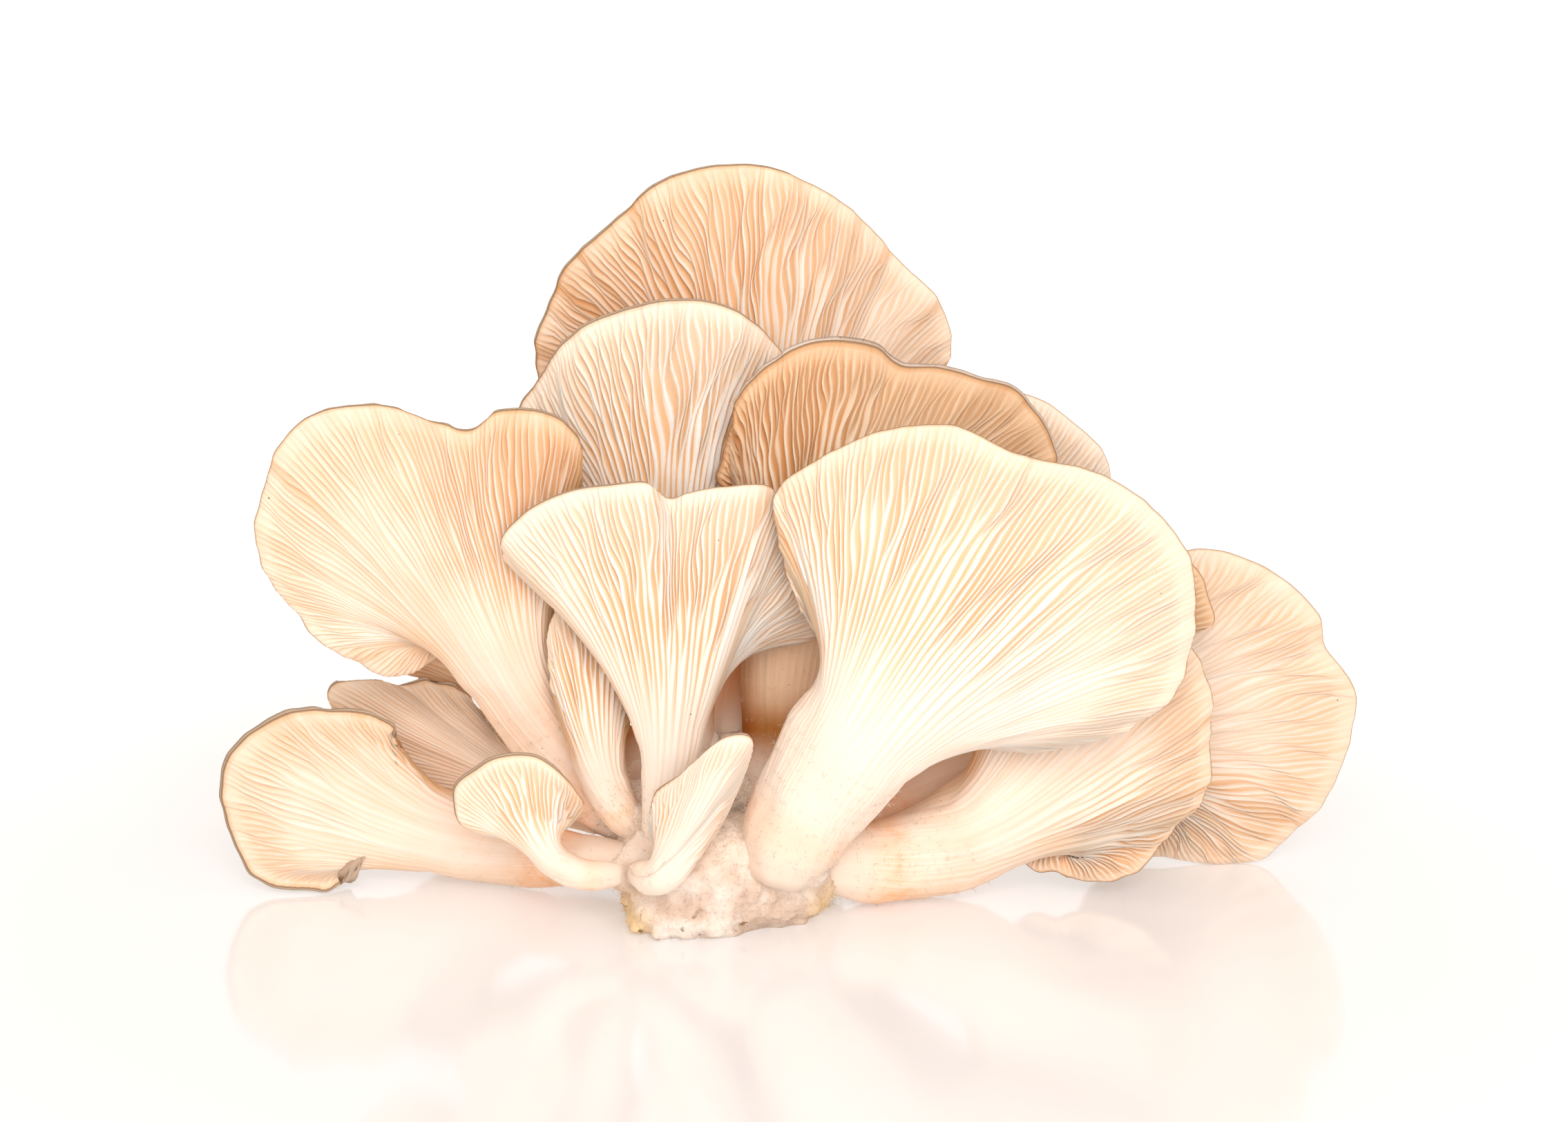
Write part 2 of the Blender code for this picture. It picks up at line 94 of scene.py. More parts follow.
MUSHROOMS = (
    Mushroom("top", (2, 33, 24), (4, 57, 56), (9, 58, 102), (0, 12),
             (7.6, 10), (0.35, 6),
             ((-3, 34, -1), (17, 34.6, -1), (42, 32, -1), (69, 36, 1), (88, 41, 3), (104, 44, 3),
              (121, 45.6, 3), (142, 45, 1), (161, 47.7, -2), (187, 50.4, -5), (211, 46, -9),
              (257, 18, -12), (317, 31, -7)),
             "cream_flesh", (1.5, 160), 0.5, 1.6, (0.12, 0.3, 130), 200, 1),
    Mushroom("upper_left", (-10, 24, 24), (-13, 34, 52), (-15, 35, 80), (0, 10),
             (6.6, 8), (0.35, 3.4),
             ((28, 33, -4), (56, 38, -1), (74, 41, 2), (90, 40, 3), (108, 38, 2), (121, 36, 1),
              (135, 33, -1), (155, 31, -3), (199, 23, -9), (270, 11, -11), (340, 18, -6)),
             "pale_flesh", (1.4, 120), 0.4, 1.5, (-0.2, 0.2, 60), 200, 2),
    Mushroom("upper_right", (9, 16, 22), (11, 28.6, 46), (17, 26, 83), (0, 14),
             (7.6, 11), (0.35, 6),
             ((2, 45, -2), (25, 43, 0), (37, 37.5, 1), (49, 33.5, 2), (60, 29.5, 2), (72, 31, 2),
              (92, 31, 3), (111, 28, 3), (132, 24.6, 3), (160, 20, 2), (185, 19, 1),
              (245, 22, -7), (286, 19, -9), (322, 33, -7)),
             "tan_flesh", (2.4, 75), 0.5, 1.0, (0.0, 0.2, 150), 900, 3),
    Mushroom("back_right", (12, 31.5, 19), (33, 46, 42), (53, 46, 70), (0, 10),
             (3.5, 4.5), (0.35, 4),
             ((15, 24, -3), (36, 26, -1), (55, 27, 1), (80, 29, 1), (108, 29, 0), (133, 23, -3),
              (193, 16, -8), (270, 10, -10), (329, 21, -7)),
             "pale_flesh", (0.3, 60), 0.4, 0.6, (-0.4, 0.1, 60), 100, 4),
    Mushroom("left", (-23, 19, 16), (-42, 26, 32), (-50, 16, 65), (0, 8),
             (6, 9.5), (0.3, 5.5),
             ((48, 28, -2), (56, 35, 1), (68, 38, 2), (83, 36, 1), (93, 31, -1), (103, 34, 0),
              (117, 42, 2), (136, 48, 1), (161, 46, 0), (180, 41, 1), (205, 32, 2),
              (230, 27, -2), (250, 16, -9), (285, 10, -12), (356, 12, -9)),
             "cream_flesh", (1.2, 75), 0.4, 0.9, (0.2, 0.5, 30), 1500, 5),
    Mushroom("front", (-15, 2, 19), (-10.5, 3, 41), (-15, 3, 66), (2, 12),
             (4, 6.5), (0.05, 2.7),
             ((-21, 33, -5), (1, 27, -2), (22, 27, 0), (46, 32, 2), (63, 27, 3), (76, 23, 2),
              (84, 21, 1), (94, 25, 3), (110, 26, 3), (125, 28, 2), (142, 30, 0),
              (156, 31.6, -1), (165, 31, -3), (173, 27, -6), (270, 8, -9), (325, 22, -10)),
             "pale_flesh", (0.7, 140), 0.35, 0.8, (-0.35, 0.4, 55), 500, 6),
    Mushroom("right", (9, -3, 14), (15, -4, 31), (36, -4, 54), (0, 6),
             (9.5, 13), (0.35, 5),
             ((2, 52, -1), (24, 55, -1), (39, 53, 0), (52, 50, 0), (68, 46, 1), (84, 49, 2),
              (102, 48, 2), (118, 46, 1), (131, 43, -1), (152, 27, -3), (176, 18, -7),
              (225, 12, -14), (260, 13, -13), (303, 24, -6), (327, 32, -1), (344, 44, 1)),
             "cream_flesh", (0.5, 50), 0.5, 0.9, (-0.3, 0.5, 115), 1500, 7),
    Mushroom("far_right", (18, 25, 11), (45, 42, 19), (86, 34, 32), (0, 4),
             (4.5, 6), (0.35, 5),
             ((4, 40, 0), (16, 38.6, 1), (25, 36.5, -1), (35, 38.5, 1), (47, 38.4, 0),
              (62, 38, 1), (82, 36.5, 1), (110, 28, -3), (146, 20, -7), (177, 18, -13),
              (230, 24, -7), (251, 30, -3), (274, 30.8, 0), (302, 37.4, 0), (318, 38, 0),
              (-20, 39, 1)),
             "cream_flesh", (0.3, 30), 0.25, 1.8, (0.2, 0.1, 250), 100, 8),
    Mushroom("low_right", (19, 8, 10), (42, 21, 4.6), (60, 14, 25), (0, 2),
             (7, 10.5), (0.35, 5.5),
             ((-20, 30, -2), (-9, 33, -1), (10, 35, 0), (32, 39, 0), (50, 40, 0), (81, 33, -3),
              (107, 24, -6), (150, 14, -12), (215, 12, -13), (266, 19, -4), (284, 20, -1),
              (297, 24, 0), (322, 28, 0)),
             "cream_flesh", (0.6, 300), 0.5, 0.9, (0.2, 0.1, 290), 900, 9),
    Mushroom("behind_right", (19, 18, 16), (45, 34, 42), (70, 23, 60), (0, 6),
             (3, 4), (0.35, 3),
             ((-14, 25, 0), (0, 24, 0), (18, 22, 0), (41, 18, 0), (80, 13, 0), (137, 11, -3),
              (200, 9, -8), (270, 9, -7), (320, 16, -2)),
             "tan_flesh", (0.3, 0), 0.3, 0.4, (-0.5, 0.0, 0), 0, 10),
    Mushroom("low_left", (-24, 8, 10), (-54, 34, 1.2), (-76, 25, 18), (4, 2),
             (5, 8), (0.35, 3.5),
             ((61, 11, 0), (64, 15, 3), (72, 17, 4), (86, 18, 4), (104, 19, 3), (124, 22, 3),
              (145, 25, 2), (163, 27, 1), (180, 27, 1), (201, 26, 4), (216, 24, 6), (231, 20, 8),
              (246, 17, 8), (257, 14, 3), (282, 12, -3), (325, 11, -11), (380, 9, -10)),
             "cream_flesh", (2.1, 140), 0.35, 0.8, (0.22, 0.1, 0), 300, 11),
    Mushroom("back_left", (-17, 29, 11), (-35, 40, 12), (-57, 45, 16), (8, 0),
             (4, 5), (0.35, 3),
             ((10, 14, -5), (41, 11, -1), (74, 14, 1), (89, 18, 2), (108, 22, 2), (120, 23, 0),
              (130, 29, 2), (143, 34, 3), (156, 28, 0), (174, 20, -1), (208, 13, -4),
              (260, 9, -10), (315, 8, -10)),
             "pale_flesh", (1.2, 100), 0.6, 0.5, (0.2, 0.0, 0), 0, 12),
    Mushroom("behind_left", (-17, 32, 20), (-34, 46, 30), (-59, 50, 43), (0, -10),
             (5.4, 5.4), (0.35, 3),
             ((7, 9, -3), (48, 9, -2), (108, 7, -2), (165, 11, 0), (196, 14, 1), (212, 10, -1),
              (231, 10, 1), (265, 9, 1), (301, 9, -2)),
             "tan_flesh", (0.5, 200), 0.4, 0.4, (0.3, 0.0, 0), 0, 13),
    Mushroom("small_left", (-24, -3, 11), (-37, -6, 11), (-39, -6, 23), (0, 8),
             (2.8, 3.4), (0.35, 5),
             ((5, 9, -3), (39, 10, 0), (69, 12, 2), (90, 14, 2), (114, 15, 2), (134, 15, 1),
              (156, 16, 0), (184, 14, 0), (201, 10, -1), (226, 7, -4), (280, 3.5, -5)),
             "cream_flesh", (1.5, 120), 0.2, 0.3, (-0.05, 0.0, 60), 100, 14),
    Mushroom("small_middle", (-18, -9, 13), (-13.5, -18.5, 14), (-9, -12, 23), (-25, 6),
             (3.4, 4), (0.35, 3),
             ((52, 21, -3), (57, 25, 0), (67, 22, 2), (91, 12, 2), (128, 9, 2), (168, 7, 1),
              (213, 8, -1), (280, 4, -5), (391, 8, -5)),
             "pale_flesh", (1.5, 130), 0.2, 0.3, (-0.6, 0.0, 180), 100, 15),
    Mushroom("slim", (-21, 9, 17.5), (-29, 7, 27), (-28, 11, 41), (10, 6),
             (3.7, 4.9), (0.3, 3),
             ((47, 14, -5), (76, 21, -4), (92, 23, -4), (105, 22, -3), (117, 19, -2),
              (127, 15, -1), (145, 10, 0), (202, 6, -3), (270, 5, -7), (341, 7, -5)),
             "pale_flesh", (0.7, 140), 0.3, 0.4, (0.05, 0.2, 90), 400, 16),
)

# ---------------------------------------------------------------- sizes of the butt, mm

BUTT_CENTER = np.array([-2.0, 12.0, 9.0])
BUTT_WIDTH = 22.0        # from the middle to each side
BUTT_BELOW = 17.0        # depth of the dome's lower half, most of it under the floor
BUTT_ABOVE = 11.0        # height of its upper half at the front
BUTT_BACK = 13.0         # how much higher it is at the back
BUTT_FOOT = 0.86         # width of the cut face, as a part of the butt's own
DOME_POWER = 2.6         # 2 is round, more is boxier
DOME_START = -17         # degrees above level, seen from the centre, where the dome starts
BUTT_SIDES = 260
BUTT_LEVELS = 110        # of the dome
WALL_LEVELS = 16         # from the cut face to the dome
FOOT_PUSH = 0.35         # how far a stem pulls the skin along, as a part of its radius
FOOT_SPREAD = 2.5        # how much wider than the stem that is
COTTON_LUMPS = ((0.6, 9, 31), (0.32, 3.5, 32), (0.16, 1.4, 33))  # height, size and seed
RAGGED_LUMPS = (0.8, 5, 34)       # of the edge of the cut face

# ---------------------------------------------------------------- sizes of the fuzz, mm

STEM_HAIR = (1.3, 0.05)  # length and half thickness
BUTT_HAIR = (1.7, 0.055)
BUTT_HAIRS = 9000
BUTT_HAIR_SEED = 50
FUZZY_STEM = slice(2, 12)         # rings that hairs grow from
FUZZY_BUTT = slice(4, None)


# ---------------------------------------------------------------- working with arrays

def unit(vectors):
    """Scale vectors along the last axis to length 1."""
    return vectors / np.maximum(np.linalg.norm(vectors, axis=-1, keepdims=True), 1e-12)


def fade(value, low, high):
    """0 up to low, 1 from high on, and 3x^2 - 2x^3 between."""
    x = np.clip((value - low) / (high - low), 0, 1)
    return x * x * (3 - 2 * x)


def ripple(points, size, seed, waves=14):
    """Soft lumps in space: sine waves of about that length in all directions, added up and
    divided by the root of their number."""
    rng = np.random.default_rng(seed)
    ways = unit(rng.normal(size=(waves, 3))) * TURN / (size * rng.uniform(0.7, 1.4, (waves, 1)))
    shift = rng.uniform(0, TURN, waves)
    return np.sin(points @ ways.T + shift).sum(-1) / np.sqrt(waves)


def around(table, t):
    """Look up a closed table of points at t, where one turn is 1."""
    count = len(table)
    place = (t % 1.0) * count
    low = np.floor(place).astype(int) % count
    part = (place - np.floor(place))[..., None]
    return table[low] * (1 - part) + table[(low + 1) % count] * part


def smooth_loop(points, count):
    """Closed Catmull-Rom curve through the points, as count evenly spaced points."""
    points = np.asarray(points, float)
    before, after = np.roll(points, 1, 0), np.roll(points, -1, 0)
    far = np.roll(points, -2, 0)
    t = np.linspace(0, 1, 64, endpoint=False)[None, :, None]
    a, b, c, d = (p[:, None] for p in (before, points, after, far))
    dense = 0.5 * (2 * b + (c - a) * t + (2 * a - 5 * b + 4 * c - d) * t ** 2
                   + (3 * b - a - 3 * c + d) * t ** 3)
    dense = dense.reshape(-1, 3)
    closed = np.vstack([dense, dense[:1]])
    length = np.concatenate([[0], np.cumsum(np.linalg.norm(np.diff(closed, axis=0), axis=1))])
    wanted = np.linspace(0, length[-1], count, endpoint=False)
    loop = np.stack([np.interp(wanted, length, closed[:, k]) for k in range(3)], -1)
    return loop, length[-1]


def slow_part(values, harmonics):
    """What a closed table holds of waves that go round it fewer times than harmonics."""
    waves = np.fft.rfft(values, axis=0)
    waves[harmonics:] = 0
    return np.fft.irfft(waves, len(values), axis=0)


def outward(grid):
    """Unit normals of a grid of closed rings, pointing to the gill side."""
    across = np.roll(grid, -1, 1) - np.roll(grid, 1, 1)
    return unit(np.cross(np.gradient(grid, axis=0), across))


# ---------------------------------------------------------------- shape of a mushroom

def cap_frame(facing):
    """Right, up and forward of a cap whose gill side looks along forward."""
    turn, tip = np.radians(facing)
    forward = np.array([np.sin(turn) * np.cos(tip), -np.cos(turn) * np.cos(tip), -np.sin(tip)])
    right = np.array([np.cos(turn), np.sin(turn), 0.0])
    return right, np.cross(forward, right), forward


def rim_curve(m):
    """Tables round the cap, of: the plain rim from the hub, the direction round the stem of
    each of its points, and the rim's notches and waves. And its length.

    The plain rim is the rim's first six harmonics, the notches are the rest of it, and the
    waves are a few sines towards the gill side. The direction follows the rim's own angle,
    evened out to its first two harmonics.
    """
    right, up, forward = cap_frame(m.facing)
    degrees, reach, lift = np.array(m.rim, float).T
    angle = np.radians(degrees)
    points = (reach * np.cos(angle))[:, None] * right + (reach * np.sin(angle))[:, None] * up
    rim, length = smooth_loop(points + lift[:, None] * forward, RIM_POINTS)
    t = np.arange(RIM_POINTS) / RIM_POINTS
    polar = TURN * t + slow_part(np.unwrap(np.arctan2(rim @ up, rim @ right)) - TURN * t, 3)
    spokes = np.cos(polar)[:, None] * right + np.sin(polar)[:, None] * up
    rng = np.random.default_rng(m.seed)
    ruffle = sum(np.sin(TURN * (round(length / size) * t + rng.random()))
                 * size / RUFFLE_STEEPNESS for size in RUFFLE_LENGTHS)
    ruffle = (m.ruffle * ruffle)[:, None] * (forward + 0.5 * unit(rim))
    plain = slow_part(rim, 7)
    return np.hstack([plain, spokes, rim - plain + ruffle]), length


def flare_steps(m, openings):
    """How far along the stem the flare is that open."""
    start, power = m.flare
    return start + (1 - start) * np.asarray(openings) ** (1 / power)


def gill_side(m, tables, t, steps):
    """Rings from foot to rim: the stem's circle fades into the rim as the flare opens.

    A point is the stem's curve + (1 - opening) x radius x ring direction + opening x rim
    + opening^3 x the rim's notches and waves.
    The flare opens later where the rim turns back down along the stem. Reach is the opening,
    and below the flare the way still to go to it, as a negative number.
    """
    foot, bend, hub = (np.array(p, float) for p in (m.foot, m.bend, m.hub))
    s = np.asarray(steps, float)[:, None]
    axis = (1 - s) ** 2 * foot + 2 * s * (1 - s) * bend + s ** 2 * hub
    tangent = unit((1 - s) * (bend - foot) + s * (hub - bend))
    back = -cap_frame(m.facing)[2]
    edge, spoke, wave = np.split(around(tables, t), 3, -1)
    lean = np.einsum("rk,rck->rc", tangent, spoke) / (1 + tangent @ back)[:, None]
    ring = unit(spoke - lean[..., None] * (tangent + back)[:, None])
    start, power = m.flare
    turned = (0.5 - 0.5 * unit(edge) @ unit(hub - bend)) ** 2
    opening = np.clip((s - start) / (1 - start), 0, 1) ** (power * (1 + turned))
    radius = m.radii[0] + (m.radii[1] - m.radii[0]) * np.minimum(s / NECK, 1)
    radius = radius * (0.8 + 0.2 * fade(s, -SUNK, 0.12))
    lumps = 1 + 0.05 * np.sin(TURN * (2 * t + 0.4 * m.seed)) * (1 - opening)
    stem = ((1 - opening) * radius * lumps)[..., None] * ring
    cap = opening[..., None] * (edge + opening[..., None] ** 2 * wave)
    reach = opening + np.minimum(s - start, 0)
    return axis[:, None] + stem + cap, opening, reach


def gill_columns(m, gills, reach, length):
    """Where the columns of the gill side stand on each ring, how much of the gill there is,
    how high it is there, and each gill's own tint.

    Gills come in fours: one runs the whole way down the stem, one starts a little up the
    flare, and two short ones start near the rim. A gill takes no room before it starts, so
    its neighbours part to make way for it. Slow waves make all of them wander sideways, but
    none may cross the next.
    """
    rng = np.random.default_rng(m.seed + 100)
    rank = np.tile(GILL_RANKS, gills // len(GILL_RANKS))
    start = np.choose(rank, [rng.uniform(low, high, gills) for low, high in GILL_STARTS])
    there = fade(reach, start - GILL_RISE, start + GILL_RISE)
    room = 0.06 + 0.94 * there * rng.uniform(0.8, 1.2, gills)
    fours = room.reshape(len(reach), -1, 4)
    width = (fours / fours.sum(-1, keepdims=True)).reshape(room.shape) * 4 / gills
    left = np.cumsum(width, 1) - width
    t = (left[..., None] + width[..., None] * np.array(GILL_PLACES)).reshape(len(reach), -1)
    tall = rng.uniform(0.7, 1.1, gills)[:, None] * np.array(GILL_HEIGHTS) + 0 * there[..., None]
    tall, there = tall.reshape(t.shape), np.repeat(there, len(GILL_PLACES), axis=1)
    opening = np.maximum(reach, 0)
    sway = sum(np.sin(TURN * (k * t + rng.random() + bends * opening)) / k ** 0.5
               for k, bends in GILL_BENDS)
    own = np.sin(TURN * (rng.random(gills) + rng.uniform(0.5, 2.5, gills) * opening))
    own = np.repeat(GILL_SWAY * GILL_PITCH * own, len(GILL_PLACES), axis=1)
    tint = np.repeat(rng.uniform(-0.1, 0.15, gills), len(GILL_PLACES))
    t = t + fade(opening, 0.02, 0.6) * (m.wander * sway + own) / length
    least = 0.1 / t.shape[1] * np.arange(t.shape[1])
    t = np.maximum.accumulate(t - least, 1) + least
    return np.minimum(t, t[:, :1] + 1 - least[::-1]), there, tall, tint


def towards(m, tables, t, degrees):
    """1 where the rim is on that side of the cap, 0 on the other side."""
    right, up, _ = cap_frame(m.facing)
    side = np.radians(degrees)
    way = np.cos(side) * right + np.sin(side) * up
    return 0.5 + 0.5 * unit(around(tables, t)[..., :3]) @ way


def gill_strength(m, tables, t, there, along, opening):
    """How clearly each gill stands out, in its depth and in the painted shade between its crest and
    valleys: most on the cap's warm side, the side painted in shade, and towards the rim, little on
    the stem, and not at all on the rim itself."""
    side = 0.2 + 0.8 * fade(towards(m, tables, t, m.warm[2]), 0.3, 0.85)
    side = np.maximum(side, (0.4 + 0.45 * side) * fade(opening, 0.45, 0.85))
    rise = FAINT * fade(along, -0.1, 0.3) + (1 - FAINT) * fade(opening, 0.0, 0.42)
    return there * side * rise * (1 - 0.9 * fade(opening, 0.9, 0.99))


def tone_and_painted_shade(m, tables, t, opening, points, normals):
    """How warm and dark the flesh is painted: the cap's own tone, and painted shade on top of it,
    towards one side of the cap, in the folds that turn sideways away from the lamp, and deep between
    the stems, where light only comes through the flesh or off it; but less of that shade underneath,
    where the floor lights it."""
    lit_from = unit(np.array([0.0, -0.9, 0.45]))
    # where the painted shade deep between the stems is centred, and how far it spreads
    deep_middle, deep_size = np.array([6, 32, 34]), np.array([20, 14, 22])
    # painted shade towards one side of the cap
    cap = m.warm[1] * towards(m, tables, t, m.warm[2]) ** 3 * opening
    # painted shade in folds turned away from the lamp, less where they turn down to the floor
    away = 1 - normals @ lit_from
    folds = fade(away, 0.1, 0.85) * (1 - 0.8 * fade(away, 1.0, 1.6))
    folds = folds * (1 - 0.6 * fade(-normals[..., 2], 0.3, 0.9))
    deep = np.exp(-(((points - deep_middle) / deep_size) ** 2).sum(-1))
    return m.warm[0] + cap + folds * (0.4 + 0.6 * fade(opening, 0, 0.2)) + 0.8 * deep


def off_floor(points):
    """Press whatever would reach below the floor gently flat on it: z becomes
    curve x log(1 + exp(z / curve))."""
    z = FLOOR_CURVE * np.logaddexp(0, points[..., 2] / FLOOR_CURVE)
    return np.concatenate([points[..., :2], z[..., None]], -1)


def gill_rings(m, tables, length):
    """The gill side with its gills, from inside the butt to the rim, and its zones. Also where
    its columns stand at the rim, and their tint.

    A point is the smooth gill side, moved along its normal by soft lumps on the stem and by
    depth x height of the gill there.
    """
    big = length > BIG_RIM
    flare = np.linspace(0, 1, (BIG_FLARE_RINGS if big else FLARE_RINGS) + 1)[1:] ** RING_CROWDING
    steps = flare_steps(m, flare)
    steps = np.concatenate([np.linspace(-SUNK, steps[0], STEM_RINGS + 1)[:-1], steps])
    start, power = m.flare
    along = ((steps - start) / (1 - start))[:, None]
    t, there, tall, tint = gill_columns(
        m, len(GILL_RANKS) * round(length / GILL_PITCH / len(GILL_RANKS)),
        np.clip(along, 0, 1) ** power + np.minimum(along, 0), length)
    rings, opening, reach = gill_side(m, tables, t, steps)
    strong = gill_strength(m, tables, t, there, along, opening)
    depth = GILL_DEPTH * min(1, 0.35 + m.radii[1] / 12)
    depth = depth * (FAINT * there + (1 - FAINT) * strong)
    lumps = 0.3 * ripple(rings, 12, m.seed) + 0.12 * ripple(rings, 4, m.seed + 50)
    lumps = lumps * (1 - fade(opening, 0, 0.15)) * min(1, m.radii[0] / 5)
    normals = outward(rings)
    rings = rings + (lumps + depth * tall)[..., None] * normals
    # painted light and shade across each gill: pale crests, shaded valleys, evened out where the
    # gills are faint; then the gill's own tint plus the painted shade of the flesh
    shade = 0.66 + (tall - 0.66) * strong
    warm = tint + tone_and_painted_shade(m, tables, t, opening, rings, normals)
    return rings, np.stack([shade, reach, 0 * tall, warm], -1), t[-1], tint


def top_rings(m, tables, rim_t, tint):
    """The smooth top side, from the rim to the throat, and its zones.

    A point is the gill side without gills, moved back through the flesh, and near the rim out
    past it by the roll. Columns that crowd together at the rim even out away from it. Also
    the lip: how far beyond the rim the flesh closes.
    """
    openness = np.linspace(THROAT, 1, TOP_RINGS)
    even = np.arange(len(rim_t)) / len(rim_t)
    even = even + (rim_t - even).mean()
    t = even + (rim_t - even) * fade(openness, 0.75, 1.0)[:, None]
    rings, opening, _ = gill_side(m, tables, t, flare_steps(m, openness))
    edge = EDGE * min(1, 0.6 + m.radii[1] / 20)
    flesh = edge + (FLESH_PER_RADIUS * m.radii[1] - edge) * (1 - opening) ** 1.5
    away = unit(around(tables, t)[..., :3])
    hump = m.roll[0] * (0.15 + 0.85 * towards(m, tables, t, m.roll[1]) ** 2)
    hump = hump * fade(opening, 0.6, 0.95)
    rings = (rings - flesh[..., None] * outward(rings) + hump[..., None] * away)[::-1]
    flat = np.ones_like(t)
    return rings, np.stack([0 * flat, opening[::-1], flat, tint * flat], -1), 0.3 * edge * away[-1]


def mushroom_grid(m):
    """Points and zones of one mushroom, as rings from inside the butt over the rim to the throat.
    Zones hold, for each point: gill height, which the material paints as lit crests and shaded
    valleys, reach, top side or not, and warm tone with painted shade, with a little chance from gill
    to gill."""
    tables, length = rim_curve(m)
    below, zones, rim_t, tint = gill_rings(m, tables, length)
    top, top_zones, lip = top_rings(m, tables, rim_t, tint)
    lip = (below[-1] + top[0]) / 2 + lip
    lip_zone = zones[-1] * [0, 1, 1, 1] + [0, 0, 0.5, 0]
    return (off_floor(np.concatenate([below, lip[None], top])),
            np.concatenate([zones, lip_zone[None], top_zones]))


# ---------------------------------------------------------------- making meshes

def make_mesh(name, points, faces, zones, slot, replaced=None):
    """A smooth-shaded piece from points in mm, faces and zone colours, riding on the cluster."""
    mesh = bpy.data.meshes.new(name)
    mesh.vertices.add(len(points))
    mesh.vertices.foreach_set("co", (points * MM).astype(np.float32).ravel())
    sizes = np.concatenate([np.full(len(f), f.shape[1]) for f in faces])
    corners = np.concatenate([f.ravel() for f in faces])
    mesh.loops.add(len(corners))
    mesh.loops.foreach_set("vertex_index", corners.astype(np.int32))
    mesh.polygons.add(len(sizes))
    mesh.polygons.foreach_set("loop_start", (np.cumsum(sizes) - sizes).astype(np.int32))
    mesh.update(calc_edges=True)
    mesh.shade_smooth()
    layer = mesh.attributes.new("zones", "FLOAT_COLOR", "POINT")
    layer.data.foreach_set("color", zones.astype(np.float32).ravel())
    mesh.materials.append(MATERIALS[slot])
    piece = bpy.data.objects.new(name, mesh)
    bpy.context.collection.objects.link(piece)
    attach(piece, "root")
    if replaced:
        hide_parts(replaced)


def closed_faces(levels, count):
    """Quads between closed rings, with a fan at each end round points 0 and last."""
    here = 1 + np.arange(levels * count).reshape(levels, count)
    beside = np.roll(here, -1, 1)
    quads = np.stack([here[:-1], here[1:], beside[1:], beside[:-1]], -1).reshape(-1, 4)
    first = np.stack([np.zeros(count, int), here[0], beside[0]], -1)
    last = np.stack([np.full(count, levels * count + 1), beside[-1], here[-1]], -1)
    return [quads, first, last]


def with_ends(grid):
    """A grid of rings as one list, with the middle of the first and last ring at its ends."""
    return np.vstack([grid[0].mean(0), grid.reshape(-1, grid.shape[-1]), grid[-1].mean(0)])


def make_rings(name, grid, zones, slot, replaced):
    """A closed piece from a grid of rings."""
    make_mesh(name, with_ends(grid), closed_faces(*grid.shape[:2]), with_ends(zones), slot,
              replaced)


def make_fuzz(name, grid, rings, count, hair, seed):
    """Fine hairs on some rings of a grid: thin three-sided spikes, each leaning its own way
    off the surface."""
    length, thick = hair
    roots, normals = grid[rings].reshape(-1, 3), outward(grid)[rings].reshape(-1, 3)
    rng = np.random.default_rng(seed)
    pick = rng.integers(0, len(roots), count)
    lean = unit(normals[pick] + 0.75 * rng.normal(size=(count, 3)))
    side = unit(np.cross(lean, rng.normal(size=(count, 3))))
    other = np.cross(lean, side)
    root = roots[pick] + 0.4 * rng.normal(size=(count, 3)) - 0.15 * normals[pick]
    root[:, 2] = np.maximum(root[:, 2], 0.3)
    size = length * rng.uniform(0.4, 1.0, (count, 1))
    tip = root + lean * size
    tip[:, 2] = np.maximum(tip[:, 2], 0.1)
    turn = TURN * np.arange(3) / 3
    ring = (np.cos(turn)[:, None] * side[:, None] + np.sin(turn)[:, None] * other[:, None])
    base = root[:, None] + thick * ring
    points = np.concatenate([base, tip[:, None]], 1).reshape(-1, 3)
    first = 4 * np.arange(count)[:, None]
    faces = [np.hstack([first + k, first + (k + 1) % 3, first + 3]) for k in range(3)]
    faces.append(np.hstack([first + 2, first + 1, first]))
    make_mesh(name, points, faces, np.ones((len(points), 4)), "butt_flesh")


def make_mushroom(m):
    """One mushroom as a closed piece, and the fuzz on its lower stem."""
    grid, zones = mushroom_grid(m)
    make_rings("oyster_" + m.name, grid, zones, m.slot, "mushroom_" + m.name)
    if m.fuzz:
        make_fuzz("fuzz_" + m.name, grid, FUZZY_STEM, m.fuzz, STEM_HAIR, m.seed)


# ---------------------------------------------------------------- butt

def butt_width(turn, low):
    """Half width of the butt, with a corner at its front left that grows towards the floor."""
    corner = 5.0 * np.exp(-((turn + 2.15) / 0.4) ** 2) * low
    return BUTT_WIDTH + corner + 1.2 * np.cos(3 * turn + 0.3) + 0.6 * np.sin(7 * turn)


def stem_foot(m):
    """Where a stem leaves the butt, and its direction there."""
    foot = np.array(m.foot, float)
    return foot, unit(np.array(m.bend) - foot)


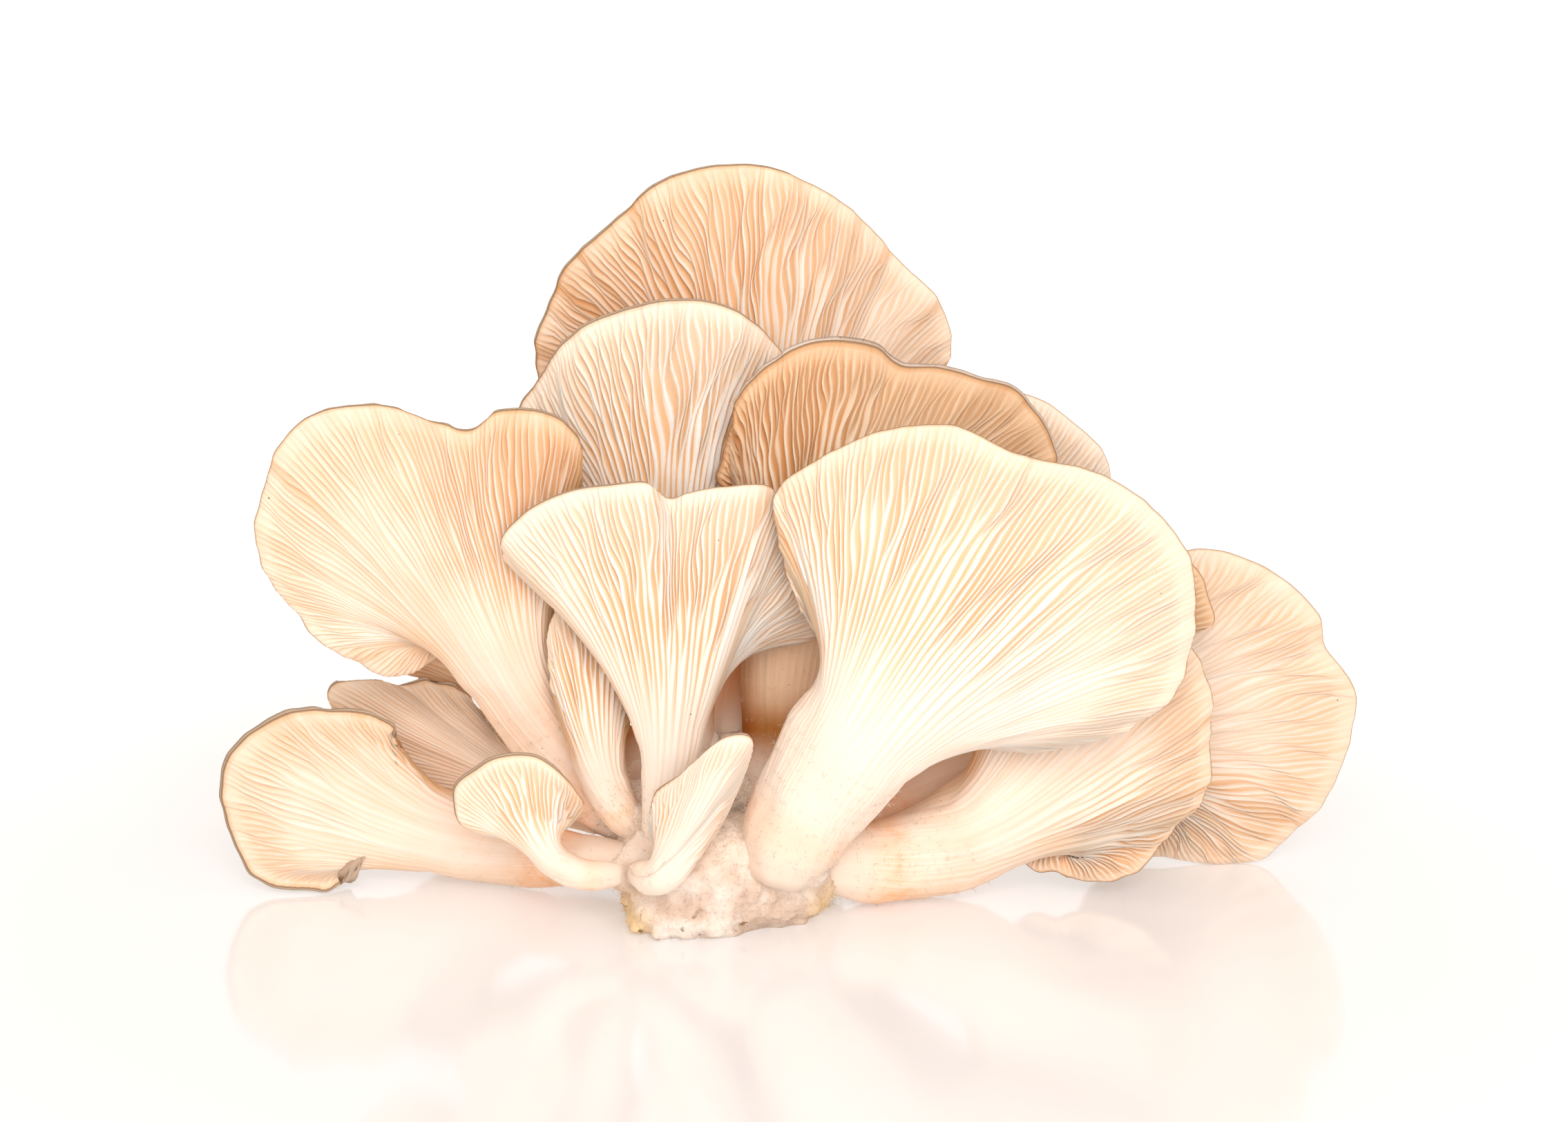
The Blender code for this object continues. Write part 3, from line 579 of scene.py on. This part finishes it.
def butt_reach(directions):
    """Distance from the butt's centre to its skin: a dome, higher at the back, with a round
    knob at each stem's foot. The reaches r of all of them join softly as log(sum(exp(r)))."""
    x, y, z = np.moveaxis(directions, -1, 0)
    wide = butt_width(np.arctan2(y, x), np.clip(-3 * z, 0, 1))
    high = np.where(z < 0, BUTT_BELOW, BUTT_ABOVE + BUTT_BACK * np.clip(0.2 + y, 0, 1))
    dome = (np.hypot(x, y) / wide) ** DOME_POWER + (np.abs(z) / high) ** DOME_POWER
    reach = np.exp(dome ** (-1 / DOME_POWER))
    for m in MUSHROOMS:
        foot, away = stem_foot(m)
        knob = foot + 0.4 * m.radii[0] * away - BUTT_CENTER
        ahead = directions @ knob
        radius = m.radii[0] * (0.65 + 0.3 * fade(away[2], 0, 0.8))
        inside = radius ** 2 - knob @ knob + ahead ** 2
        reach = reach + np.exp(ahead + np.sign(inside) * np.sqrt(np.abs(inside)))
    return np.log(reach)


def butt_grid():
    """The butt's skin: a wall up from the cut face, then the dome, swollen round each stem's
    foot and cottony all over.

    A foot's swelling falls off with the distance to it as exp(-d^2), and the cotton is
    soft lumps of three sizes along the normal, weaker near the cut face, whose edge is ragged.
    """
    turn = -TURN * np.arange(BUTT_SIDES) / BUTT_SIDES
    turn = np.arctan2(np.sin(turn), np.cos(turn))
    rise = np.linspace(np.radians(DOME_START), np.pi / 2, BUTT_LEVELS + 1)[:-1, None]
    directions = np.stack([np.cos(rise) * np.cos(turn), np.cos(rise) * np.sin(turn),
                           np.sin(rise) + 0 * turn], -1)
    skin = BUTT_CENTER + directions * butt_reach(directions)[..., None]
    outline = np.stack([np.cos(turn), np.sin(turn), 0 * turn], -1)
    floor = BUTT_CENTER * [1, 1, 0] + outline * (BUTT_FOOT * butt_width(turn, 1))[:, None]
    up = np.linspace(0, 1, WALL_LEVELS, endpoint=False)[:, None, None]
    grid = np.concatenate([floor + (skin[0] - floor) * up, skin])
    for m in MUSHROOMS:
        foot, away = stem_foot(m)
        gap = np.linalg.norm(grid - foot, axis=-1) / (m.radii[0] + FOOT_SPREAD)
        push = FOOT_PUSH * m.radii[0] * fade(away[2], -0.3, 0.8)
        grid = grid + (push * np.exp(-gap ** 2))[..., None] * away
    height = fade(grid[..., 2], 0, 5)
    lumps = sum(tall * ripple(grid, size, seed) for tall, size, seed in COTTON_LUMPS)
    grid = grid + (lumps * (0.25 + 0.75 * height))[..., None] * outward(grid)
    tall, size, seed = RAGGED_LUMPS
    ragged = tall * ripple(grid, size, seed) * (1 - height)
    grid = grid + ragged[..., None] * outline
    grid[..., 2] = np.maximum(grid[..., 2], 0.02)
    grid[0, :, 2] = 0.0
    return grid


def make_butt():
    """The butt as one closed piece, and the fuzz on it."""
    grid = butt_grid()
    make_rings("butt_skin", grid, np.ones(grid.shape[:2] + (4,)), "butt_flesh", "butt")
    make_fuzz("fuzz_butt", grid, FUZZY_BUTT, BUTT_HAIRS, BUTT_HAIR, BUTT_HAIR_SEED)


# ---------------------------------------------------------------- materials

COTTON = "F3E0CF"         # of the mycelium, and of the stems where they grow out of it
WARM_TONE_AND_SHADE = "F0CDA3"  # painted shade and tone: the orange that the flesh is painted towards, for its own tone and for shade in folds, between the stems and on one side of each cap


def linear(hex_color):
    """An sRGB hex colour as linear RGBA."""
    srgb = np.array([int(hex_color[k:k + 2], 16) for k in (0, 2, 4)]) / 255
    return (*np.where(srgb <= 0.04045, srgb / 12.92, ((srgb + 0.055) / 1.055) ** 2.4), 1.0)


def plug(tree, sockets, values):
    """Set each socket to its number, vector or hex colour, or link it from its socket."""
    for key, value in values.items():
        if isinstance(value, bpy.types.NodeSocket):
            tree.links.new(value, sockets[key])
        else:
            sockets[key].default_value = linear(value) if isinstance(value, str) else value


def node(tree, kind, values, **settings):
    """Add a node with its settings and links, and give its outputs.

    A Mix node of colours has its factor at input 0, its colours at 6 and 7, and gives
    output 2.
    """
    made = tree.nodes.new("ShaderNode" + kind)
    for key, value in settings.items():
        setattr(made, key, value)
    plug(tree, made.inputs, values)
    return made.outputs


def new_material(name):
    """An empty Principled material: its tree, its shader, and object coordinates."""
    material = bpy.data.materials.new(name)
    material.use_nodes = True
    tree = material.node_tree
    return material, tree, tree.nodes["Principled BSDF"], node(tree, "TexCoord", {})["Object"]


def mushroom_flesh(name, crest, valley, stem, rim, skin):
    """Oyster mushroom flesh, grown: satin, waxy and a little see-through, under a duller, browner
    skin on top. Painted light and shade: its gills' valleys are painted darker and more orange than
    their pale crests, and the zones' painted shade darkens folds, one side of each cap and the gaps
    between the stems. Zones drive it.

    Its clouds are 16 mm wide, its patches 3 mm and its specks 9 mm apart. Its threads are
    finer than 0.1 mm and are drawn 0.8 mm wide, so that they show.
    """
    material, tree, shader, place = new_material(name)
    zones = node(tree, "Attribute", {}, attribute_name="zones")
    parts = node(tree, "SeparateColor", {"Color": zones["Color"]})
    gill, reach, top_side = parts["Red"], parts["Green"], parts["Blue"]
    clouds, patches, threads = (
        node(tree, "TexNoise", {"Vector": place, "Scale": 1 / (width * MM), "Detail": detail})["Fac"]
        for width, detail in ((16, 3.0), (3, 3.0), (0.8, 2.0)))
    specks = node(tree, "TexVoronoi", {"Vector": place, "Scale": 1 / (9 * MM)},
                  feature="F1")["Distance"]
    shares = {}
    for part, value, low, high in (
            ("dull", clouds, 0.3, 0.7), ("spots", patches, 0.4, 0.75),
            ("crest", gill, 0.2, 0.95), ("rim", reach, 0.45, 1.0),
            ("cap", reach, -0.14, 0.06), ("cotton", reach, -0.13, -0.32),
            ("mottling", clouds, 0.35, 0.7), ("edge", top_side, 0.64, 0.54),
            ("top", top_side, 0.3, 0.5), ("speck", specks, 0.025, 0.015)):
        shares[part] = node(tree, "MapRange", {"Value": value, "From Min": low, "From Max": high},
                            interpolation_type="SMOOTHSTEP")["Result"]
    # warm tone with painted shade, from the zones, a little less in the dull clouds
    warm = node(tree, "Math", {0: shares["dull"], 1: -0.15, 2: zones["Alpha"]},
                operation="MULTIPLY_ADD")["Value"]
    for part, most in (("spots", 0.4), ("rim", 0.55)):
        shares[part] = node(tree, "Math", {0: shares[part], 1: most},
                            operation="MULTIPLY")["Value"]
    colors = {"cotton": COTTON, "skin": skin, "mottling": "C2AA96", "edge": "92755B",
              "speck": "7A5A3C"}
    # painted shade: valleys go most towards the orange and crests least, so the valleys read as
    # shaded between lit crests
    for part, color, strength, more in (("valley", valley, 1.5, 0.0), ("crest", crest, 0.85, 0.0),
                                        ("rim", rim, 1.0, 0.0), ("stem", stem, 1.3, shares["spots"])):
        amount = node(tree, "Math", {0: warm, 1: strength, 2: more},
                      operation="MULTIPLY_ADD")["Value"]
        colors[part] = node(tree, "Mix", {0: amount, 6: color, 7: WARM_TONE_AND_SHADE},
                            data_type="RGBA", blend_type="MULTIPLY")[2]
    for result, share, under, over in (
            ("cap", "crest", "valley", "crest"), ("cap", "rim", "cap", "rim"),
            ("all", "cap", "stem", "cap"), ("all", "cotton", "all", "cotton"),
            ("top", "mottling", "skin", "mottling"), ("top", "edge", "top", "edge"),
            ("all", "top", "all", "top"), ("all", "speck", "all", "speck")):
        colors[result] = node(tree, "Mix", {0: shares[share], 6: colors[under], 7: colors[over]},
                              data_type="RGBA")[2]
    plug(tree, shader.inputs, {
        "Base Color": colors["all"],
        "Normal": node(tree, "Bump", {"Height": threads, "Strength": 0.15,
                                      "Distance": 0.1 * MM})["Normal"],
        "Roughness": 0.65,
        "IOR": 1.4,
        "Specular IOR Level": 0.02,
        "Subsurface Weight": node(tree, "Math", {0: top_side, 1: -0.25, 2: 0.25},
                                  operation="MULTIPLY_ADD")["Value"],
        "Subsurface Radius": (1.0, 0.9, 0.85),
        "Subsurface Scale": 0.6 * MM})
    return material


def butt_flesh():
    """Mycelium, grown and then cut with a knife: matt white cotton, yellow where it has dried
    at the ends of the cut, and brown in flecks near it.

    Its patches are 9 mm wide and its flecks 3 mm. Its threads are finer than 0.1 mm and are
    drawn 0.7 mm wide, so that they show.
    """
    material, tree, shader, place = new_material("mycelium of the butt")
    patches, flecks, threads = (
        node(tree, "TexNoise", {"Vector": place, "Scale": 1 / (width * MM), "Detail": detail})["Fac"]
        for width, detail in ((9, 4.0), (3, 5.0), (0.7, 4.0)))
    where = node(tree, "SeparateXYZ", {"Vector": place})
    off_middle = node(tree, "Math", {0: where["X"], 1: 1 * MM}, operation="ADD")["Value"]
    off_middle = node(tree, "Math", {0: off_middle}, operation="ABSOLUTE")["Value"]
    shares = {}
    for part, value, low, high in (
            ("damp", patches, 0.4, 0.6), ("dry", patches, 0.35, 0.55),
            ("ends", off_middle, 13 * MM, 19 * MM), ("low", where["Z"], 11 * MM, 1 * MM),
            ("cotton", where["Z"], 9 * MM, 20 * MM), ("fleck", flecks, 0.62, 0.7)):
        shares[part] = node(tree, "MapRange", {"Value": value, "From Min": low, "From Max": high},
                            interpolation_type="SMOOTHSTEP")["Result"]
    for part, first, second in (("yellow", "low", "ends"), ("yellow", "yellow", "dry"),
                                ("brown", "low", "fleck")):
        shares[part] = node(tree, "Math", {0: shares[first], 1: shares[second]},
                            operation="MULTIPLY")["Value"]
    color = "F0E2D6"
    for share, over in (("damp", "DAC1AE"), ("cotton", COTTON), ("yellow", "EACB9C"),
                        ("brown", "8E6A45")):
        color = node(tree, "Mix", {0: shares[share], 6: color, 7: over}, data_type="RGBA")[2]
    plug(tree, shader.inputs, {
        "Base Color": color,
        "Normal": node(tree, "Bump", {"Height": threads, "Strength": 0.7,
                                      "Distance": 0.5 * MM})["Normal"],
        "Roughness": 0.85,
        "Specular IOR Level": 0.2,
        "Subsurface Weight": 0.3,
        "Subsurface Radius": (1.0, 0.6, 0.4),
        "Subsurface Scale": 2.0 * MM})
    return material


# Colours of the gills' crests and valleys, the stem, the flesh near the rim, and the skin. The pale
# crests and darker valleys are painted light and shade across each gill. The tan slot is partly its
# own tan and partly painted shade for the caps at the back; its dark brown stem is painted shade deep
# between the stems.
MATERIALS = {
    "cream_flesh": mushroom_flesh("cream oyster mushroom flesh", "FFF9F3", "EBC39A", "FFDFC9",
                                  "F5DDC5", "C3AC96"),
    "pale_flesh": mushroom_flesh("pale oyster mushroom flesh", "FFFBF5", "E2B588", "FFEAD7",
                                 "F7E5D2", "CDB5A1"),
    "tan_flesh": mushroom_flesh("tan and shaded oyster mushroom flesh", "FFEBD2", "CC9664", "B07843",
                                "E3BA92", "E3CFC2"),
    "butt_flesh": butt_flesh(),
}


# ---------------------------------------------------------------- floor, light and camera, m

def make_floor():
    """White acrylic, cast and polished: a wide pale floor with a faint reflection, that glows on its
    own as painted light from below, most so far from the cluster, and painted a little warmer near
    it, as light off the mushrooms."""
    reach, near, far_off = 6.0, 0.12, 0.3
    material, tree, shader, place = new_material("polished white acrylic")
    distance = node(tree, "VectorMath", {0: place}, operation="LENGTH")["Value"]
    far = node(tree, "MapRange", {"Value": distance, "From Min": near, "From Max": far_off},
               interpolation_type="SMOOTHSTEP")["Result"]
    plug(tree, shader.inputs, {
        "Base Color": "CECCCD",
        "Roughness": 0.12,
        "IOR": 1.6,
        # painted light: the floor glows, a little warmer near the cluster and brighter far from it
        "Emission Color": node(tree, "Mix", {0: far, 6: "FFFAF6", 7: "FFFFFF"},
                               data_type="RGBA")[2],
        "Emission Strength": node(tree, "Math", {0: far, 1: 0.2, 2: 0.3},
                                  operation="MULTIPLY_ADD")["Value"]})
    mesh = bpy.data.meshes.new("floor")
    mesh.from_pydata([(-reach, -reach, 0), (reach, -reach, 0), (reach, reach, 0),
                      (-reach, reach, 0)], [], [(0, 1, 2, 3)])
    mesh.materials.append(material)
    floor = bpy.data.objects.new("floor", mesh)
    bpy.context.collection.objects.link(floor)


def make_room():
    """A warm room, white low down all round, and white on the lower part of the wall behind."""
    world = bpy.data.worlds.new("studio")
    world.use_nodes = True
    tree = world.node_tree
    way = node(tree, "SeparateXYZ", {"Vector": node(tree, "TexCoord", {})["Generated"]})
    behind, below_top, low_down = (
        node(tree, "MapRange", {"Value": way[axis], "From Min": low, "From Max": high},
             interpolation_type="SMOOTHSTEP")["Result"]
        for axis, low, high in (("Y", 0.6, 0.9), ("Z", 0.7, 0.45), ("Z", 0.1, 0.04)))
    white = node(tree, "Math", {0: behind, 1: below_top}, operation="MULTIPLY")["Value"]
    white = node(tree, "Math", {0: white, 1: low_down}, operation="MAXIMUM")["Value"]
    plug(tree, tree.nodes["Background"].inputs, {
        "Color": node(tree, "Mix", {0: white, 6: "FFF3E7", 7: "FFFFFF"}, data_type="RGBA")[2],
        "Strength": node(tree, "Math", {0: white, 1: 0.35, 2: 0.8},
                         operation="MULTIPLY_ADD")["Value"]})
    bpy.context.scene.world = world
    bpy.context.scene.view_settings.view_transform = "Standard"


def make_lamp():
    """One big soft lamp, high in front, turned to face the cluster."""
    place, aim = np.array([0.1, -0.9, 0.5]), np.array([0.01, 0.03, 0.06])
    light = bpy.data.lights.new("key", "AREA")
    light.size = 0.7
    light.energy = 7.0
    x, y, z = aim - place
    lamp = bpy.data.objects.new("key", light)
    lamp.location = place
    lamp.rotation_euler = (np.arctan2(np.hypot(x, y), -z), 0, np.arctan2(y, x) - np.pi / 2)
    bpy.context.collection.objects.link(lamp)


def make_camera():
    """A long lens at 0.75 m, looking 14 degrees down at the middle of the cluster."""
    tilt, distance = np.radians(14), 0.75
    aim = np.array([0.0095, 0.035, 0.065])
    data = bpy.data.cameras.new("camera")
    data.lens = 85
    data.sensor_width = 36
    data.clip_start = 0.01
    camera = bpy.data.objects.new("camera", data)
    camera.location = aim + distance * np.array([0, -np.cos(tilt), np.sin(tilt)])
    camera.rotation_euler = (np.pi / 2 - tilt, 0, 0)
    bpy.context.collection.objects.link(camera)
    bpy.context.scene.camera = camera


# ---------------------------------------------------------------- the whole cluster

def main():
    """Make every piece, then the floor, room, lamp and camera."""
    for m in MUSHROOMS:
        make_mushroom(m)
    make_butt()
    make_floor()
    make_room()
    make_lamp()
    make_camera()


main()
